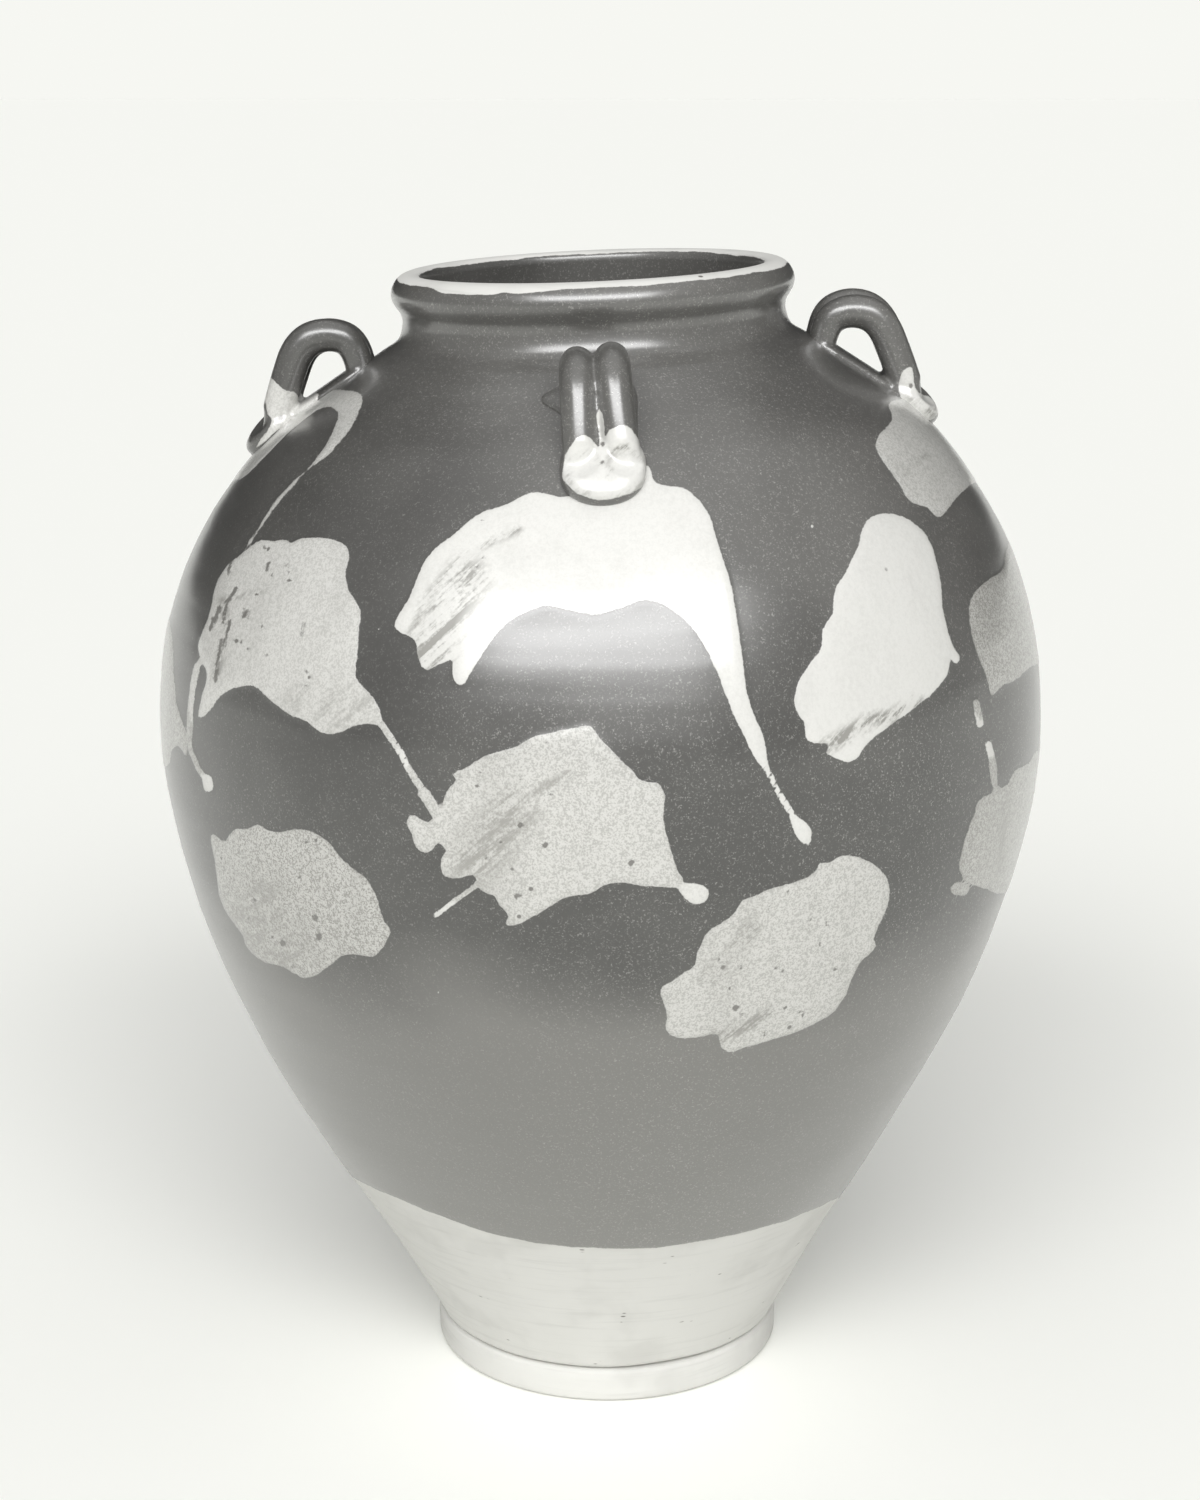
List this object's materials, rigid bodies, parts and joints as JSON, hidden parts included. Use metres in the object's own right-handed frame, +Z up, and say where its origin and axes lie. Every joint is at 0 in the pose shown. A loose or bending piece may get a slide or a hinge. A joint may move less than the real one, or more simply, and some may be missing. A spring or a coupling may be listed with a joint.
{
  "type": "martaban jar",
  "caption": "Wide-shouldered stoneware storage jar on a narrow foot, with a short leaning neck, rolled lip and rolled loop ears on its shoulder, in dark glaze with pale ladled splashes.",
  "frame": {"origin": "on the surface that the jar stands on, under the centre of the belly's widest ring; the foot's centre is 2.7 mm towards +X from it", "axes": "+Z up the jar; -Y towards the front ear; the neck leans 2.4 degrees towards -X"},
  "size_m": [0.349, 0.349, 0.4482],
  "materials": {
    "dark_glaze": "satin dark glaze with pale splashes",
    "thin_glaze": "thin satin glaze that ends over bare clay",
    "lip_glaze": "dark glaze, wiped to bare clay on top",
    "ear_glaze": "glossy dark glaze with pale splashes",
    "bare_stoneware": "bare fired clay"
  },
  "bodies": {
    "root": {"base_slab": "bare_stoneware", "foot_band": "bare_stoneware", "heel_wall": "thin_glaze", "lower_wall": "thin_glaze", "flank_wall": "dark_glaze", "belly_wall": "dark_glaze", "low_shoulder_wall": "dark_glaze", "shoulder_wall": "dark_glaze", "high_shoulder_wall": "dark_glaze", "neck_seat_wall": "dark_glaze", "neck_collar": "dark_glaze", "lip_roll": "lip_glaze", "front_ear_strap": "ear_glaze", "front_ear_first_roll": "ear_glaze", "front_ear_second_roll": "ear_glaze", "right_ear_strap": "ear_glaze", "right_ear_first_roll": "ear_glaze", "right_ear_second_roll": "ear_glaze", "back_ear_strap": "ear_glaze", "back_ear_first_roll": "ear_glaze", "back_ear_second_roll": "ear_glaze", "left_ear_strap": "ear_glaze", "left_ear_first_roll": "ear_glaze", "left_ear_second_roll": "ear_glaze"}
  },
  "joints": []
}
